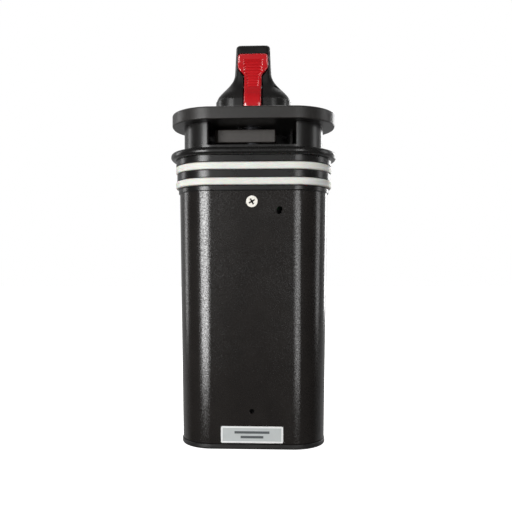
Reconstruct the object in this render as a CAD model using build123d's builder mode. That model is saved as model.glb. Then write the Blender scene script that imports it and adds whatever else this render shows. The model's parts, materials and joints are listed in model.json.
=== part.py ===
from build123d import *
from math import cos, pi, radians, sin, tan
import os

os.makedirs("parts", exist_ok=True)

# A plug-in battery cartridge for a boat or a wet housing: a drafted case full of cells, a sealing head with
# two ring seals, and a quarter-turn knob whose locking bar swings out through the window in the neck.
# A red lever on the knob keeps it from turning until it is pressed. Millimetres. The origin is the middle of
# the bottom face, +Z runs up to the knob, and the front, with the lever and the label, faces -Y.

# Case, outside sizes at its lower end
case_width = 97.1
case_depth = 47.1
case_corner = 21.9
case_length = 167.0
case_wall = 2.4
case_draft = 0.82  # degrees a side, widening upwards

# Heights of the cap and of the sealing head's steps, in order going up
cap_edge = 3.3
rim_height = 3.5
groove_height = 5.0
land_height = 5.2
upper_land_height = 4.3
lip_height = 4.9
neck_height = 18.0
flange_thickness = 8.4

# How far each step stands out from the upper end of the case
rim_step = 0.8
land_step = 1.9
upper_land_step = 2.6
lip_step = 6.1
flange_step = 5.2
neck_step = -3.1
groove_floor_step = -1.5
seal_proud = 0.8  # a seal stands this far out from the middle land
seal_side_gap = 0.1
seal_fillet = 1.1

# Clearances
loose_fit = 0.2
sliding_fit = 0.15
running_fit = 0.05
press_gap = 0.01
body_gap = 0.6  # between pieces of different bodies that only pass each other

# Heights that follow
case_top = cap_edge + case_length
lower_groove_z = case_top + rim_height
middle_land_z = lower_groove_z + groove_height
upper_groove_z = middle_land_z + land_height
upper_land_z = upper_groove_z + groove_height
lip_z = upper_land_z + upper_land_height
neck_z = lip_z + lip_height
flange_z = neck_z + neck_height
flange_top = flange_z + flange_thickness


def case_growth(z):
    """How far each side of the drafted case has moved out at height z."""
    return (z - cap_edge) * tan(radians(case_draft))


def case_outline(z, margin=0.0):
    """The case's outline at height z, moved out by a margin."""
    side = case_growth(z) + margin
    RectangleRounded(case_width + 2 * side, case_depth + 2 * side, case_corner + side)


def head_outline(step):
    """The outline of the case's upper end, moved out by a step."""
    case_outline(case_top, step)


def finish(piece, name):
    """Label a finished piece and write it as one node."""
    piece.part.label = name
    export_step(piece.part, f"parts/{name}.step")


def mirrored(x, y):
    """The four places that mirror one another across both middle planes."""
    return [(x, y), (-x, y), (x, -y), (-x, -y)]


# ---------------------------------------------------------------- fasteners of the case and the head
case_screw_z = case_top - 7.1
case_screw_radius = 2.0
case_screw_head = 3.8
case_screw_length = 7.6
cap_screw_radius = 1.5
cap_screw_head = 2.9
cap_screw_length = 12.0
flange_screw_radius = 2.0
flange_screw_head = 4.0
flange_screw_length = 18.0
thread_bite = 0.25  # a self-tapping screw's pilot hole is this much smaller in radius
screw_turn = 30  # degrees, how the cross recesses are left turned

inner_step = -case_wall - sliding_fit
case_front_at_screw = case_depth / 2 + case_growth(case_screw_z)

# Screw posts stand in the inner corners, touching the walls
cap_post_radius = 3.4
post_wall_bite = 0.4
cap_corner_x = case_width / 2 - case_corner
cap_corner_y = case_depth / 2 - case_corner
cap_post_reach = case_corner - case_wall - cap_post_radius + post_wall_bite
cap_post_x = cap_corner_x + cap_post_reach * cos(radians(40))
cap_post_y = cap_corner_y + cap_post_reach * sin(radians(40))
cap_post_height = 12.5

neck_wall = 3.0
neck_post_radius = 4.0
neck_inner_corner = case_corner + case_growth(case_top) + neck_step - neck_wall
neck_post_reach = neck_inner_corner - neck_post_radius + post_wall_bite
neck_post_x = cap_corner_x + neck_post_reach * cos(radians(38))
neck_post_y = cap_corner_y + neck_post_reach * sin(radians(38))


def phillips_screw(plane, head_radius, shank_radius, length):
    """A countersunk screw with a cross recess: its head is flush with the plane and it points against it."""
    head_height = head_radius - shank_radius
    with BuildSketch(plane) as head:
        Circle(head_radius)
    with BuildSketch(plane.offset(-head_height)) as shank:
        Circle(shank_radius)
    loft([head.sketch, shank.sketch])
    extrude(shank.sketch, amount=head_height - length)
    with BuildSketch(plane) as cross:
        for angle in (screw_turn, screw_turn + 90):
            Rectangle(1.15 * head_radius, 0.27 * head_radius, rotation=angle)
    extrude(cross.sketch, amount=-0.75 * head_height, taper=6, mode=Mode.SUBTRACT)

# ---------------------------------------------------------------- case
vent_x = 18.0
vent_z = case_top - 12.9
vent_length = 5.2
vent_width = 3.6
vent_tilt = 70
drain_z = 25.2
drain_radius = 1.6
pit_x = 18.4
pit_z = 39.3
pit_radius = 0.7
pit_depth = 0.5
seam_chamfer = 0.5

front_of_screw = Plane(origin=(0, -case_front_at_screw, case_screw_z), x_dir=(1, 0, 0), z_dir=(0, -1, 0))
back_of_screw = Plane(origin=(0, case_front_at_screw, case_screw_z), x_dir=(-1, 0, 0), z_dir=(0, 1, 0))

with BuildPart() as body_shell:
    for z in (cap_edge, case_top):
        with BuildSketch(Plane.XY.offset(z)):
            case_outline(z)
    loft()
    chamfer(body_shell.faces().sort_by(Axis.Z)[0].edges(), seam_chamfer)
    for z in (cap_edge - 1, case_top + 1):
        with BuildSketch(Plane.XY.offset(z)):
            case_outline(z, -case_wall)
    loft(mode=Mode.SUBTRACT)
    with BuildSketch(Plane.XY.offset(cap_edge)):
        with Locations(*mirrored(cap_post_x, cap_post_y)):
            Circle(cap_post_radius)
    extrude(amount=cap_post_height)
    with BuildSketch(Plane.XY.offset(cap_edge)):
        with Locations(*mirrored(cap_post_x, cap_post_y)):
            Circle(cap_screw_radius - thread_bite)
    extrude(amount=cap_post_height - 1.5, mode=Mode.SUBTRACT)
    with Locations(front_of_screw, back_of_screw):
        CounterSinkHole(case_screw_radius + sliding_fit, case_screw_head + sliding_fit, depth=2 * case_wall)
    with BuildSketch(Plane.XZ):
        with Locations((vent_x, vent_z)):
            SlotOverall(vent_length, vent_width, rotation=vent_tilt)
        with Locations((0, drain_z)):
            Circle(drain_radius)
    extrude(amount=case_depth, mode=Mode.SUBTRACT)
    with BuildSketch(Plane.XZ.offset(case_depth / 2 + case_growth(pit_z) - pit_depth)):
        with Locations((pit_x, pit_z)):
            Circle(pit_radius)
    extrude(amount=2, mode=Mode.SUBTRACT)
finish(body_shell, "body_shell")

# ---------------------------------------------------------------- bottom cap and connector
cap_overhang = 0.5
cap_skirt = 5.0
cap_skirt_wall = 1.6
rest_post_x = 22.0
rest_post_y = 15.8
rest_post_radius = 3.0
rest_post_top = 18.0

connector_width = 48.0
connector_depth = 20.0
connector_corner = 2.5
connector_bottom = 0.8
connector_top = 13.0
connector_ear = 62.0
connector_ear_height = 2.6
connector_screw_x = 27.5
connector_screw_radius = 1.25
connector_screw_head = 2.3
connector_screw_length = 5.2

power_x = 14.0
power_bore = 3.0
power_tube = 4.2
power_guide = 3.4
socket_mouth = 2.0
power_bore_length = 9.5
tail_width = 7.0
tail_depth = 6.0
tail_height = 5.0
signal_pitch = 3.4
signal_bore = 0.75
signal_tube = 1.25
signal_tube_length = 9.0

cap_screw_spots = mirrored(cap_post_x, cap_post_y)
power_spots = [(-power_x, 0), (power_x, 0)]
connector_screw_spots = [(-connector_screw_x, 0), (connector_screw_x, 0)]
underside = Plane.XY.rotated((180, 0, 0))

with BuildPart() as bottom_cap:
    with BuildSketch(Plane.XY):
        case_outline(cap_edge, cap_overhang)
    extrude(amount=cap_edge)
    fillet(bottom_cap.faces().sort_by(Axis.Z)[0].edges(), 1.1)
    fillet(bottom_cap.faces().sort_by(Axis.Z)[-1].edges(), 0.4)
    with BuildSketch(Plane.XY.offset(cap_edge)):
        case_outline(cap_edge, inner_step)
    extrude(amount=cap_skirt)
    with BuildSketch(Plane.XY.offset(cap_edge)):
        case_outline(cap_edge, inner_step - cap_skirt_wall)
        with Locations(*cap_screw_spots):
            Circle(cap_post_radius + loose_fit)
    extrude(amount=cap_skirt, mode=Mode.SUBTRACT)
    with BuildSketch(Plane.XY.offset(cap_edge)):
        with Locations(*mirrored(rest_post_x, rest_post_y)):
            Circle(rest_post_radius)
    extrude(amount=rest_post_top - cap_edge)
    with BuildSketch(Plane.XY):
        RectangleRounded(
            connector_width + 2 * loose_fit,
            connector_depth + 2 * loose_fit,
            connector_corner + loose_fit,
        )
    extrude(amount=cap_edge, mode=Mode.SUBTRACT)
    with Locations(underside):
        with Locations(*cap_screw_spots):
            CounterSinkHole(cap_screw_radius + sliding_fit, cap_screw_head + sliding_fit, depth=cap_edge)
    with BuildSketch(Plane.XY.offset(cap_edge)):
        with Locations(*connector_screw_spots):
            Circle(connector_screw_radius - thread_bite)
    extrude(amount=connector_ear_height - connector_screw_length, mode=Mode.SUBTRACT)
finish(bottom_cap, "bottom_cap")

with BuildPart() as cap_screws:
    for x, y in cap_screw_spots:
        phillips_screw(
            Plane(origin=(x, y, 0), x_dir=(1, 0, 0), z_dir=(0, 0, -1)),
            cap_screw_head,
            cap_screw_radius - thread_bite - press_gap,
            cap_screw_length,
        )
finish(cap_screws, "cap_screws")

with BuildPart() as connector_block:
    with BuildSketch(Plane.XY.offset(connector_bottom)):
        RectangleRounded(connector_width, connector_depth, connector_corner)
    extrude(amount=connector_top - connector_bottom)
    chamfer(connector_block.faces().sort_by(Axis.Z)[0].edges(), 0.4)
    with BuildSketch(Plane.XY.offset(cap_edge)):
        RectangleRounded(connector_ear, connector_depth, connector_corner)
    extrude(amount=connector_ear_height)
    with BuildSketch(Plane.XY.offset(connector_bottom)):
        with Locations(*power_spots):
            Circle(power_guide)
        with GridLocations(signal_pitch, 1, 4, 1):
            Circle(signal_bore + loose_fit)
    extrude(amount=socket_mouth - connector_bottom, mode=Mode.SUBTRACT)
    with BuildSketch(Plane.XY.offset(socket_mouth)):
        with Locations(*power_spots):
            Circle(power_tube + press_gap)
        with GridLocations(signal_pitch, 1, 4, 1):
            Circle(signal_tube + press_gap)
    extrude(amount=connector_top - socket_mouth, mode=Mode.SUBTRACT)
    with Locations(Plane.XY.offset(cap_edge + connector_ear_height)):
        with Locations(*connector_screw_spots):
            CounterSinkHole(
                connector_screw_radius + sliding_fit,
                connector_screw_head + sliding_fit,
                depth=connector_ear_height,
            )
finish(connector_block, "connector_block")

with BuildPart() as connector_screws:
    for x, y in connector_screw_spots:
        phillips_screw(
            Plane(origin=(x, y, cap_edge + connector_ear_height), x_dir=(1, 0, 0), z_dir=(0, 0, 1)),
            connector_screw_head,
            connector_screw_radius - thread_bite - press_gap,
            connector_screw_length,
        )
finish(connector_screws, "connector_screws")

with BuildPart() as power_sockets:
    with BuildSketch(Plane.XY.offset(socket_mouth)):
        with Locations(*power_spots):
            Circle(power_tube)
    extrude(amount=connector_top - socket_mouth)
    with BuildSketch(Plane.XY.offset(connector_top)):
        with Locations(*power_spots):
            Rectangle(tail_width, tail_depth)
    extrude(amount=tail_height)
    with BuildSketch(Plane.XY.offset(socket_mouth)):
        with Locations(*power_spots):
            Circle(power_bore)
    extrude(amount=power_bore_length, mode=Mode.SUBTRACT)
finish(power_sockets, "power_sockets")

with BuildPart() as signal_sockets:
    with BuildSketch(Plane.XY.offset(socket_mouth)):
        with GridLocations(signal_pitch, 1, 4, 1):
            Circle(signal_tube)
    extrude(amount=connector_top + 1.5 - socket_mouth)
    with BuildSketch(Plane.XY.offset(socket_mouth)):
        with GridLocations(signal_pitch, 1, 4, 1):
            Circle(signal_bore)
    extrude(amount=signal_tube_length, mode=Mode.SUBTRACT)
finish(signal_sockets, "signal_sockets")

# ---------------------------------------------------------------- cells and their holders
cell_radius = 9.1
cell_length = 65.0
cell_pitch = 2 * cell_radius + 1.4
cell_groove = 0.45
cell_groove_drop = 3.0  # below the cell's positive end
cell_columns = 4
cell_rows = 2
lower_cells_z = 24.0
strip_thickness = 0.3
layer_sheet = 1.0
holder_height = 8.0
holder_margin = 0.4
holder_hole_x = 38.0
holder_hole_y = 13.0
holder_hole_radius = 2.6
strip_margin_x = 5.5
strip_margin_y = 4.5
strip_slot_width = 0.8
strip_slot_length = 4.0
lead_radius = 1.6
lead_x = case_width / 2 - 6.5
lead_bend = 6.0
foam_top_height = 3.0

upper_cells_z = lower_cells_z + cell_length + 2 * strip_thickness + layer_sheet
cells_top = upper_cells_z + cell_length
pad_width = (cell_columns - 1) * cell_pitch + 15
pad_depth = (cell_rows - 1) * cell_pitch + 13


def cell_group(z):
    """One layer of round cells, each with a rounded groove under its positive end."""
    with BuildSketch(Plane.XY.offset(z)) as layer:
        with GridLocations(cell_pitch, cell_pitch, cell_columns, cell_rows):
            Circle(cell_radius)
    extrude(layer.sketch, amount=cell_length)
    with GridLocations(cell_pitch, cell_pitch, cell_columns, cell_rows):
        with Locations((0, 0, z + cell_length - cell_groove_drop)):
            Torus(cell_radius + cell_groove / 2, cell_groove, mode=Mode.SUBTRACT)


def holder_plate(z):
    """A moulded plate that fills the case's section and holds one end of every cell in a layer."""
    with BuildSketch(Plane.XY.offset(z)) as plate:
        case_outline(cap_edge, -case_wall - holder_margin)
        with GridLocations(cell_pitch, cell_pitch, cell_columns, cell_rows):
            Circle(cell_radius + sliding_fit, mode=Mode.SUBTRACT)
        with Locations((-lead_x, 0), (lead_x, 0)):
            Circle(lead_radius + 2 * loose_fit, mode=Mode.SUBTRACT)
        with Locations(*mirrored(holder_hole_x, holder_hole_y)):
            Circle(holder_hole_radius, mode=Mode.SUBTRACT)
    extrude(plate.sketch, amount=holder_height)


def strip_plates(z, columns, spots):
    """Nickel plates on cell ends, one for each group of columns, slotted between the cells."""
    width = (columns - 1) * cell_pitch + 2 * strip_margin_x
    depth = (cell_rows - 1) * cell_pitch + 2 * strip_margin_y
    with BuildSketch(Plane.XY.offset(z)) as plates:
        with Locations(*[(x, 0) for x in spots]):
            RectangleRounded(width, depth, 2)
            with GridLocations(cell_pitch, cell_pitch, columns, cell_rows):
                Rectangle(strip_slot_width, strip_slot_length, mode=Mode.SUBTRACT)
    extrude(plates.sketch, amount=strip_thickness)


with BuildPart() as lower_cells:
    cell_group(lower_cells_z)
finish(lower_cells, "lower_cells")

with BuildPart() as upper_cells:
    cell_group(upper_cells_z)
finish(upper_cells, "upper_cells")

holder_heights = {
    "cell_holder_bottom": lower_cells_z,
    "cell_holder_lower_middle": lower_cells_z + cell_length - holder_height,
    "cell_holder_upper_middle": upper_cells_z,
    "cell_holder_top": cells_top - holder_height,
}
for name, z in holder_heights.items():
    with BuildPart() as cell_holder:
        holder_plate(z)
    finish(cell_holder, name)

half_pack = [-cell_pitch, cell_pitch]
with BuildPart() as bottom_strip:
    strip_plates(lower_cells_z - strip_thickness, cell_columns, [0])
finish(bottom_strip, "bottom_strip")

with BuildPart() as middle_strips:
    strip_plates(lower_cells_z + cell_length, 2, half_pack)
    strip_plates(upper_cells_z - strip_thickness, 2, half_pack)
finish(middle_strips, "middle_strips")

with BuildPart() as top_strips:
    strip_plates(cells_top, 2, half_pack)
finish(top_strips, "top_strips")

with BuildPart() as layer_insulator:
    with BuildSketch(Plane.XY.offset(lower_cells_z + cell_length + strip_thickness)):
        RectangleRounded(pad_width + 4, pad_depth + 4, 4)
    extrude(amount=layer_sheet)
finish(layer_insulator, "layer_insulator")

with BuildPart() as lower_foam_pad:
    with BuildSketch(Plane.XY.offset(rest_post_top)):
        case_outline(cap_edge, -case_wall - 2 * holder_margin)
        with Locations((-lead_x + 1.2, 0), (lead_x - 1.2, 0)):
            SlotOverall(8, 2 * lead_radius + 1.2, mode=Mode.SUBTRACT)
    extrude(amount=lower_cells_z - strip_thickness - rest_post_top)
finish(lower_foam_pad, "lower_foam_pad")

with BuildPart() as upper_foam_pad:
    with BuildSketch(Plane.XY.offset(cells_top + strip_thickness)):
        RectangleRounded(pad_width, pad_depth, 4)
    extrude(amount=foam_top_height)
finish(upper_foam_pad, "upper_foam_pad")

# ---------------------------------------------------------------- protection board and internal leads
board_z = cells_top + strip_thickness + foam_top_height
board_width = 2 * (lead_x + 2.2)
board_depth = 34.0
board_thickness = 1.6
board_corner = 9.0
board_hole_radius = 1.6
board_hole_inset = 6.5
chip_rows = 2
chip_columns = 5
chip_width = 9.2
chip_depth = 10.0
chip_height = 4.4
chip_gap = 2.8
capacitor_radius = 3.1
capacitor_height = 9.0
capacitor_y = 11.5
fuse_x = 29.0
fuse_side = 7.0
fuse_height = 1.4
board_top = board_z + board_thickness
lead_z = connector_top + tail_height / 2

with BuildPart() as protection_board:
    with BuildSketch(Plane.XY.offset(board_z)):
        RectangleRounded(board_width, board_depth, board_corner)
        with Locations(*mirrored(board_width / 2 - board_hole_inset, board_depth / 2 - board_hole_inset)):
            Circle(board_hole_radius, mode=Mode.SUBTRACT)
    extrude(amount=board_thickness)
finish(protection_board, "protection_board")

with BuildPart() as board_components:
    with BuildSketch(Plane.XY.offset(board_top)):
        with Locations((-chip_width / 2, -chip_depth / 2)):
            with GridLocations(chip_width + chip_gap, chip_depth + chip_gap, chip_columns, chip_rows):
                Rectangle(chip_width, chip_depth)
    extrude(amount=chip_height)
    with BuildSketch(Plane.XY.offset(board_top)):
        with Locations((fuse_x, -fuse_side), (fuse_x, fuse_side / 2)):
            Rectangle(fuse_side, fuse_side)
    extrude(amount=fuse_height)
    with BuildSketch(Plane.XY.offset(board_top)):
        with Locations((-12, capacitor_y), (0, capacitor_y), (12, capacitor_y)):
            Circle(capacitor_radius)
    extrude(amount=capacitor_height)
finish(board_components, "board_components")


def lead_along(side):
    """A power lead from its socket's tail, outwards and up the case's end to the protection board."""
    start = (side * (power_x + tail_width / 2), 0, lead_z)
    with BuildLine() as route:
        FilletPolyline(
            start,
            (side * lead_x, 0, lead_z),
            (side * lead_x, 0, board_z),
            radius=lead_bend,
        )
    return Plane(origin=start, z_dir=(side, 0, 0)), route.line


with BuildPart() as positive_lead:
    lead_start, lead_route = lead_along(-1)
    with BuildSketch(lead_start):
        Circle(lead_radius)
    sweep(path=lead_route)
finish(positive_lead, "positive_lead")

with BuildPart() as negative_lead:
    lead_start, lead_route = lead_along(1)
    with BuildSketch(lead_start):
        Circle(lead_radius)
    sweep(path=lead_route)
finish(negative_lead, "negative_lead")

# ---------------------------------------------------------------- sealing head
spigot_length = 8.3
spigot_wall = 2.6
tongue_drop = 4.5
tongue_width = 18.0
insert_radius = 2.9
insert_length = 5.0
head_floor = 5.5
cavity_floor_rise = 1.3
sill_rise = 2.9
window_width = 57.6
jamb_fillet = 1.2
rib_x = window_width / 2 - 2.4
rib_width = 1.8
rib_depth = 14.0
lip_fillet = 2.3
land_fillet = 0.6

spigot_z = case_top - spigot_length
tongue_z = spigot_z - tongue_drop
tongue_face = case_depth / 2 + case_growth(tongue_z) + inner_step
cavity_floor = neck_z + cavity_floor_rise
hollow_step = inner_step - spigot_wall
sill_z = neck_z + sill_rise
insert_back = case_front_at_screw - case_wall - 2 * sliding_fit - insert_length
neck_depth = case_depth + 2 * case_growth(case_top) + 2 * neck_step

with BuildPart() as seal_carrier:
    discs = [
        (lip_z, lip_height, lip_step, lip_fillet),
        (middle_land_z, land_height, land_step, land_fillet),
        (case_top, rim_height, rim_step, land_fillet),
    ]
    for z, height, step, edge in discs:
        with BuildSketch(Plane.XY.offset(z)):
            head_outline(step)
        extrude(amount=height)
        ends = edges(Select.LAST).filter_by_position(Axis.Z, z, z)
        ends += edges(Select.LAST).filter_by_position(Axis.Z, z + height, z + height)
        fillet(ends, edge)
    with BuildSketch(Plane.XY.offset(upper_land_z)):
        head_outline(upper_land_step)
    extrude(amount=upper_land_height)
    fillet(edges(Select.LAST).filter_by_position(Axis.Z, upper_land_z, upper_land_z), land_fillet)
    with BuildSketch(Plane.XY.offset(case_top)):
        head_outline(groove_floor_step)
    extrude(amount=neck_z - case_top)
    with BuildSketch(Plane.XY.offset(neck_z)):
        head_outline(neck_step)
    extrude(amount=neck_height)
    for z in (spigot_z, case_top):
        with BuildSketch(Plane.XY.offset(z)):
            case_outline(z, inner_step)
    loft()
    with BuildSketch(Plane.XY.offset(spigot_z - 1)):
        head_outline(hollow_step)
    extrude(amount=cavity_floor - head_floor - spigot_z + 1, mode=Mode.SUBTRACT)
    with BuildSketch(Plane.XY.offset(cavity_floor)):
        head_outline(neck_step - neck_wall)
    extrude(amount=flange_z - cavity_floor, mode=Mode.SUBTRACT)
    with BuildSketch(Plane.XY.offset(cavity_floor)):
        with Locations(*mirrored(neck_post_x, neck_post_y)):
            Circle(neck_post_radius)
    extrude(amount=flange_z - cavity_floor)
    with BuildSketch(Plane.XY.offset(flange_z)):
        with Locations(*mirrored(neck_post_x, neck_post_y)):
            Circle(flange_screw_radius - thread_bite)
    extrude(amount=flange_thickness - flange_screw_length - 1, mode=Mode.SUBTRACT)
    with BuildSketch(Plane.XY.offset(cavity_floor)):
        with Locations((rib_x, neck_depth / 2 - neck_wall - rib_depth / 2)):
            Rectangle(rib_width, rib_depth + 1)
    extrude(amount=flange_z - cavity_floor)
    with BuildSketch(Plane.XZ):
        with Locations((0, (sill_z + flange_z) / 2)):
            Rectangle(window_width, flange_z - sill_z)
    extrude(amount=neck_depth, mode=Mode.SUBTRACT)
    uprights = seal_carrier.edges().filter_by(Axis.Z)
    jambs = uprights.filter_by(lambda edge: abs(abs(edge.center().X) - window_width / 2) < 0.01)
    fillet(jambs.filter_by(lambda edge: edge.center().Y < neck_wall / 2 - neck_depth / 2), jamb_fillet)
    for side in (-1, 1):
        with BuildSketch(Plane.XY.offset(tongue_z)):
            with Locations((0, side * (tongue_face + insert_back) / 2)):
                Rectangle(tongue_width, tongue_face - insert_back)
        extrude(amount=spigot_length + tongue_drop - 2)
    with BuildSketch(Plane.XZ):
        with Locations((0, case_screw_z)):
            Circle(insert_radius + press_gap)
    extrude(amount=case_depth, both=True, mode=Mode.SUBTRACT)
finish(seal_carrier, "seal_carrier")

with BuildPart() as threaded_inserts:
    for side in (-1, 1):
        with BuildSketch(Plane.XZ.offset(-side * (insert_back + insert_length / 2))):
            with Locations((0, case_screw_z)):
                Circle(insert_radius)
                Circle(case_screw_radius + press_gap, mode=Mode.SUBTRACT)
        extrude(amount=insert_length / 2, both=True)
finish(threaded_inserts, "threaded_inserts")

with BuildPart() as case_screws:
    for plane in (front_of_screw, back_of_screw):
        phillips_screw(plane, case_screw_head, case_screw_radius, case_screw_length)
finish(case_screws, "case_screws")


def ring_seal(z):
    """A moulded seal that fills its groove's floor and stands proud of the lands, with rounded outer edges."""
    with BuildSketch(Plane.XY.offset(z + seal_side_gap)) as outside:
        head_outline(land_step + seal_proud)
    extrude(outside.sketch, amount=groove_height - 2 * seal_side_gap)
    fillet(edges().filter_by(Plane.XY), seal_fillet)
    with BuildSketch(Plane.XY.offset(z)) as inside:
        head_outline(groove_floor_step + press_gap)
    extrude(inside.sketch, amount=groove_height, mode=Mode.SUBTRACT)


with BuildPart() as lower_seal:
    ring_seal(lower_groove_z)
finish(lower_seal, "lower_seal")

with BuildPart() as upper_seal:
    ring_seal(upper_groove_z)
finish(upper_seal, "upper_seal")

# ---------------------------------------------------------------- top flange with the knob's bearing and track
flange_fillet = 1.0
bush_head_sunk = 1.0
bush_head_proud = 0.4
spindle_radius = 6.0
bush_outer = spindle_radius + 3.0
bush_head_radius = bush_outer + 3.0
track_radius = 17.1
track_width = 7.8
track_depth = 2.4
track_margin = 22.0  # degrees of track past the toe at each end of the knob's turn
knob_turn = 90.0
notch_half_angle = 14.0
notch_depth = 3.8
stop_pin_radius = 1.5
stop_pin_grip = 5.0
bar_half_width = 9.0
stop_gap = 0.4
stop_pin_spot = bar_half_width + stop_pin_radius + stop_gap

with BuildPart() as top_flange:
    with BuildSketch(Plane.XY.offset(flange_z)):
        head_outline(flange_step)
    extrude(amount=flange_thickness)
    flat_faces = top_flange.faces().filter_by(Axis.Z)
    fillet(flat_faces.edges(), flange_fillet)
    with BuildSketch(Plane.XY.offset(flange_z)):
        Circle(bush_outer + press_gap)
    extrude(amount=flange_thickness, mode=Mode.SUBTRACT)
    with BuildSketch(Plane.XY.offset(flange_top)):
        Circle(bush_head_radius + sliding_fit)
    extrude(amount=-bush_head_sunk, mode=Mode.SUBTRACT)
    with BuildSketch(Plane.XY.offset(flange_top)):
        SlotArc(CenterArc((0, 0), track_radius, -90 - track_margin, knob_turn + 2 * track_margin), track_width)
    extrude(amount=-track_depth, mode=Mode.SUBTRACT)
    with BuildSketch(Plane.XY.offset(flange_top)):
        SlotArc(
            CenterArc((0, 0), track_radius, knob_turn - 90 - notch_half_angle, 2 * notch_half_angle), track_width
        )
    extrude(amount=-notch_depth, mode=Mode.SUBTRACT)
    with BuildSketch(Plane.XY.offset(flange_z)):
        with Locations((-stop_pin_spot, stop_pin_spot)):
            Circle(stop_pin_radius + press_gap)
    extrude(amount=stop_pin_grip, mode=Mode.SUBTRACT)
    with Locations(Plane.XY.offset(flange_top)):
        with Locations(*mirrored(neck_post_x, neck_post_y)):
            CounterSinkHole(
                flange_screw_radius + sliding_fit, flange_screw_head + sliding_fit, depth=flange_thickness
            )
finish(top_flange, "top_flange")

with BuildPart() as flange_screws:
    for x, y in mirrored(neck_post_x, neck_post_y):
        phillips_screw(
            Plane(origin=(x, y, flange_top), x_dir=(1, 0, 0), z_dir=(0, 0, 1)),
            flange_screw_head,
            flange_screw_radius - thread_bite - press_gap,
            flange_screw_length,
        )
finish(flange_screws, "flange_screws")

with BuildPart() as spindle_bush:
    with BuildSketch(Plane.XY.offset(flange_z)):
        Circle(bush_outer)
    extrude(amount=flange_thickness)
    with BuildSketch(Plane.XY.offset(flange_top - bush_head_sunk)):
        Circle(bush_head_radius)
    extrude(amount=bush_head_sunk + bush_head_proud)
    with BuildSketch(Plane.XY.offset(flange_z)):
        Circle(spindle_radius + running_fit)
    extrude(amount=flange_thickness + bush_head_proud, mode=Mode.SUBTRACT)
finish(spindle_bush, "spindle_bush")

# ---------------------------------------------------------------- spindle and locking bar
bar_long_arm = 26.3
bar_short_arm = 15.3
bar_lead_in = 2.5
bar_height = 8.8
bar_drop = 2.0  # from the flange's underside to the bar's top
bar_fillet = 0.9
square_side = 2 * (spindle_radius - 1.9)
collar_radius = bush_outer
washer_radius = spindle_radius + 1.5
washer_height = 1.2
bar_screw_radius = 2.5
bar_screw_head = 4.6
bar_screw_head_height = 2.6
bar_screw_grip = 12.0
spindle_top = flange_top + 8.6
drive_pin_radius = 2.0
drive_pin_z = flange_top + 5.0

bar_top = flange_z - bar_drop
bar_z = bar_top - bar_height
washer_z = bar_z - washer_height
base_z = flange_top + body_gap

with BuildPart() as stop_pin:
    with BuildSketch(Plane.XY.offset(bar_z + 1)):
        with Locations((-stop_pin_spot, stop_pin_spot)):
            Circle(stop_pin_radius)
    extrude(amount=flange_z + stop_pin_grip - bar_z - 1)
finish(stop_pin, "stop_pin")

with BuildPart() as spindle:
    with BuildSketch(Plane.XY.offset(bar_z + running_fit)):
        Rectangle(square_side, square_side)
    extrude(amount=bar_height)
    with BuildSketch(Plane.XY.offset(bar_top)):
        Circle(spindle_radius)
    extrude(amount=spindle_top - bar_top)
    with BuildSketch(Plane.XY.offset(bar_top)):
        Circle(collar_radius)
    extrude(amount=bar_drop - 2 * running_fit)
    chamfer(spindle.faces().sort_by(Axis.Z)[-1].edges(), 0.6)
    with BuildSketch(Plane.XY.offset(bar_z)):
        Circle(bar_screw_radius + press_gap)
    extrude(amount=bar_screw_grip + 1, mode=Mode.SUBTRACT)
    with BuildSketch(Plane.XZ):
        with Locations((0, drive_pin_z)):
            Circle(drive_pin_radius + press_gap)
    extrude(amount=2 * spindle_radius, both=True, mode=Mode.SUBTRACT)
finish(spindle, "spindle")

with BuildPart() as locking_bar:
    with BuildSketch(Plane.XY.offset(bar_z)):
        Polygon(
            (-bar_long_arm, bar_half_width),
            (-bar_long_arm, bar_lead_in - bar_half_width),
            (bar_lead_in - bar_long_arm, -bar_half_width),
            (bar_short_arm, -bar_half_width),
            (bar_short_arm, bar_half_width),
            align=None,
        )
    extrude(amount=bar_height)
    fillet(locking_bar.edges().filter_by(Axis.Z), bar_fillet)
    chamfer(locking_bar.faces().filter_by(Axis.Z).edges(), 0.4)
    with BuildSketch(Plane.XY.offset(bar_z)):
        Rectangle(square_side + 2 * running_fit, square_side + 2 * running_fit)
    extrude(amount=bar_height, mode=Mode.SUBTRACT)
finish(locking_bar, "locking_bar")

with BuildPart() as bar_washer:
    with BuildSketch(Plane.XY.offset(washer_z)):
        Circle(washer_radius)
        Circle(bar_screw_radius + sliding_fit, mode=Mode.SUBTRACT)
    extrude(amount=washer_height)
finish(bar_washer, "bar_washer")

with BuildPart() as bar_screw:
    with BuildSketch(Plane.XY.offset(washer_z)):
        Circle(bar_screw_head)
    extrude(amount=-bar_screw_head_height)
    fillet(bar_screw.faces().sort_by(Axis.Z)[0].edges(), 1.2)
    with BuildSketch(Plane.XY.offset(washer_z)):
        Circle(bar_screw_radius)
    extrude(amount=washer_height + bar_screw_grip)
    with BuildSketch(Plane.XY.offset(washer_z - bar_screw_head_height)):
        RegularPolygon(1.7, 6)
    extrude(amount=1.7, mode=Mode.SUBTRACT)
finish(bar_screw, "bar_screw")

# ---------------------------------------------------------------- knob
base_half_width = 26.0
base_half_depth = 15.0
base_corner = 14.4
base_rim_top = flange_top + 9.9
crease = 0.5
fin_top = flange_top + 47.8
fin_half_width = 11.5  # at the top
fin_half_depth = 8.3
fin_splay = 0.05  # how far each side of the fin leans out, per millimetre down
fin_corner = 3.0
fin_round = 2.0
flare_height_x = 18.5
flare_height_y = 13.0
flare_power = 1.25
flare_steps = 12

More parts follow.
